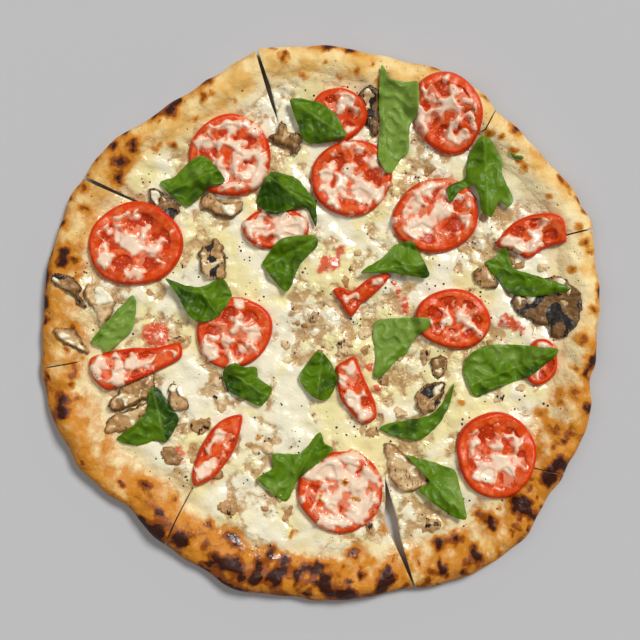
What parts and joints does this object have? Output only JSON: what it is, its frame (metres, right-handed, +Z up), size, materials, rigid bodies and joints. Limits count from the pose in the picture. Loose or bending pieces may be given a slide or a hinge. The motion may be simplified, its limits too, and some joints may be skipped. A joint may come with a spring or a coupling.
{
  "type": "pizza",
  "caption": "Whole round pizza cut into wedge slices that still lie together, with a browned rim, melted cheese, tomato slices, mushrooms and basil leaves.",
  "frame": {"origin": "middle of the flat underside", "axes": "+Z up out of the toppings, +Y towards the far side of the pizza as it is looked down on, +X to its right"},
  "size_m": [0.3562, 0.3536, 0.027],
  "materials": {
    "dough": "baked, dry, browned in spots",
    "cheese": "melted, slightly oily",
    "tomato": "wet",
    "mushroom": "roasted, moist",
    "basil": "waxy leaf"
  },
  "bodies": {
    "root": {"crust_1": "dough", "crust_2": "dough", "crust_3": "dough", "crust_4": "dough", "crust_5": "dough", "crust_6": "dough", "crust_7": "dough", "crust_8": "dough", "cheese": "cheese", "mushroom_01": "mushroom", "mushroom_02": "mushroom", "mushroom_03": "mushroom", "mushroom_04": "mushroom", "mushroom_05": "mushroom", "mushroom_06": "mushroom", "mushroom_07": "mushroom", "mushroom_08": "mushroom", "mushroom_09": "mushroom", "mushroom_10": "mushroom", "mushroom_11": "mushroom", "mushroom_12": "mushroom", "mushroom_13": "mushroom", "mushroom_14": "mushroom", "mushroom_15": "mushroom", "mushroom_16": "mushroom", "tomato_01": "tomato", "tomato_02": "tomato", "tomato_03": "tomato", "tomato_04": "tomato", "tomato_05": "tomato", "tomato_06": "tomato", "tomato_07": "tomato", "tomato_08": "tomato", "tomato_09": "tomato", "tomato_10": "tomato", "tomato_11": "tomato", "tomato_12": "tomato", "tomato_13": "tomato", "tomato_14": "tomato", "tomato_15": "tomato", "tomato_16": "tomato", "tomato_17": "tomato", "basil_01": "basil", "basil_02": "basil", "basil_03": "basil", "basil_04": "basil", "basil_05": "basil", "basil_06": "basil", "basil_07": "basil", "basil_08": "basil", "basil_09": "basil", "basil_10": "basil", "basil_11": "basil", "basil_12": "basil", "basil_13": "basil", "basil_14": "basil", "basil_15": "basil", "basil_16": "basil", "basil_17": "basil", "basil_18": "basil"}
  },
  "joints": []
}
